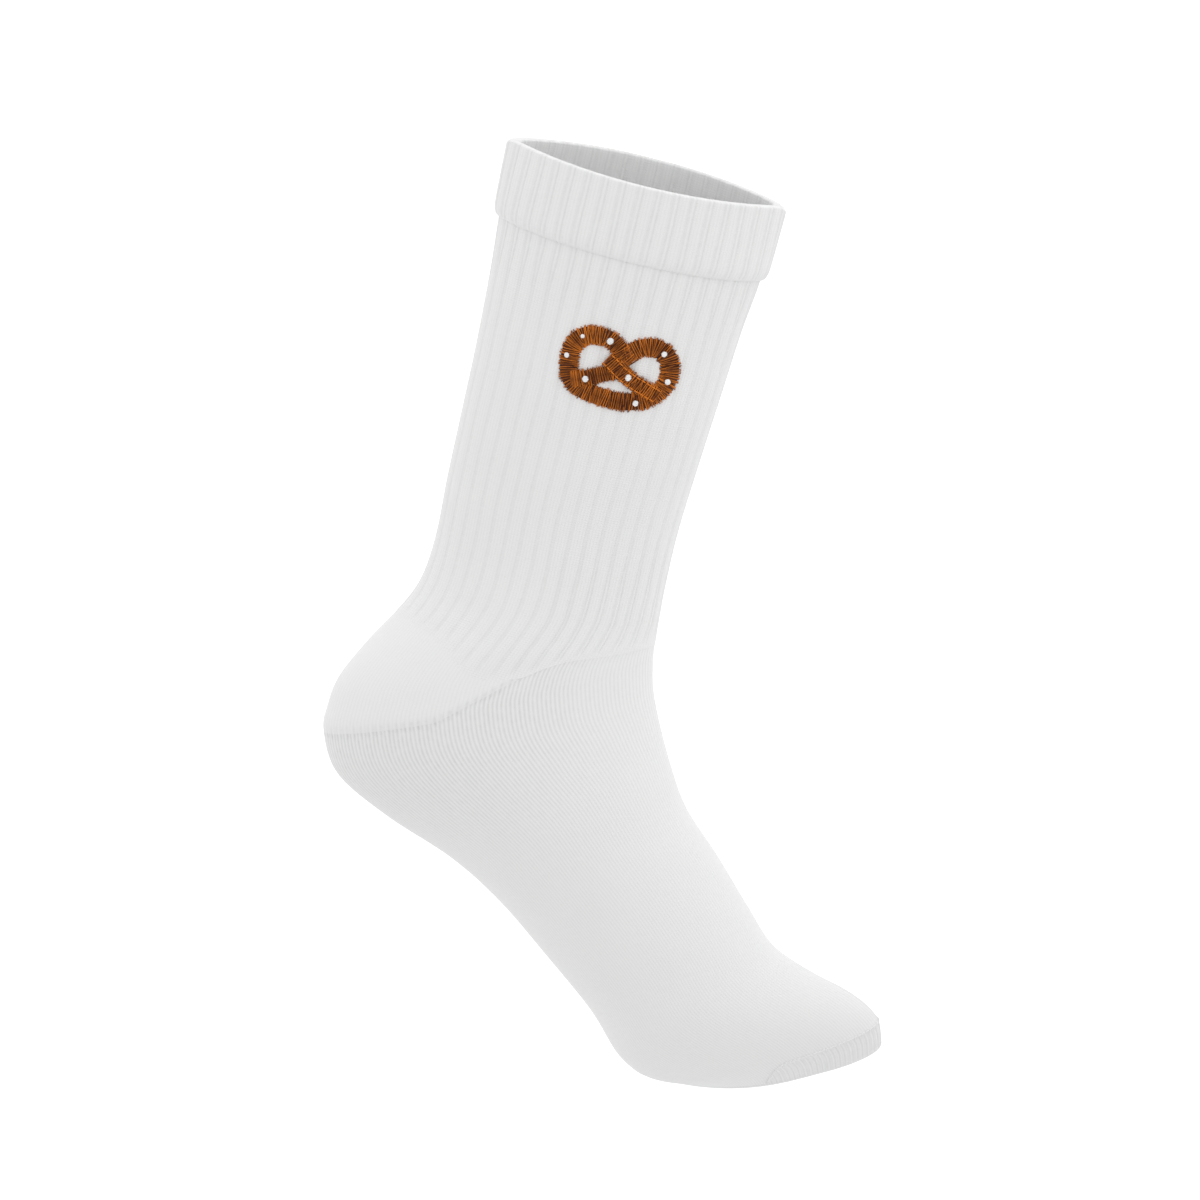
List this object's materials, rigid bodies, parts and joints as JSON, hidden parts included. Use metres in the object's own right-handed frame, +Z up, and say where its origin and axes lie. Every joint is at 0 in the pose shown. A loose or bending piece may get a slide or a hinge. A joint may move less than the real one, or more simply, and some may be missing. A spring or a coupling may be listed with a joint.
{
  "type": "crew sock",
  "caption": "Ribbed knit crew sock in its worn shape, lying on its side, with a doubled cuff, a heel pocket, a toe seam and an embroidered pretzel on the leg.",
  "frame": {"origin": "middle of the bounding box in plan, on the surface that the sock lies on", "axes": "+Y up the leg towards the open mouth, +X towards the toes, +Z up, out of the side that carries the embroidery"},
  "size_m": [0.2398, 0.3486, 0.0594],
  "materials": {
    "knit_rib": "matte white rib knit",
    "knit_plain": "matte white plain knit",
    "seam_yarn": "matte white linking yarn",
    "thread_brown": "satin brown embroidery thread",
    "thread_white": "satin white embroidery thread"
  },
  "bodies": {
    "root": {"cuff": "knit_rib", "leg": "knit_rib", "heel": "knit_plain", "foot": "knit_plain", "toe": "knit_plain", "toe_seam": "seam_yarn", "pretzel": "thread_brown", "salt_1": "thread_white", "salt_2": "thread_white", "salt_3": "thread_white", "salt_4": "thread_white", "salt_5": "thread_white", "salt_6": "thread_white", "salt_7": "thread_white", "salt_8": "thread_white"}
  },
  "joints": []
}
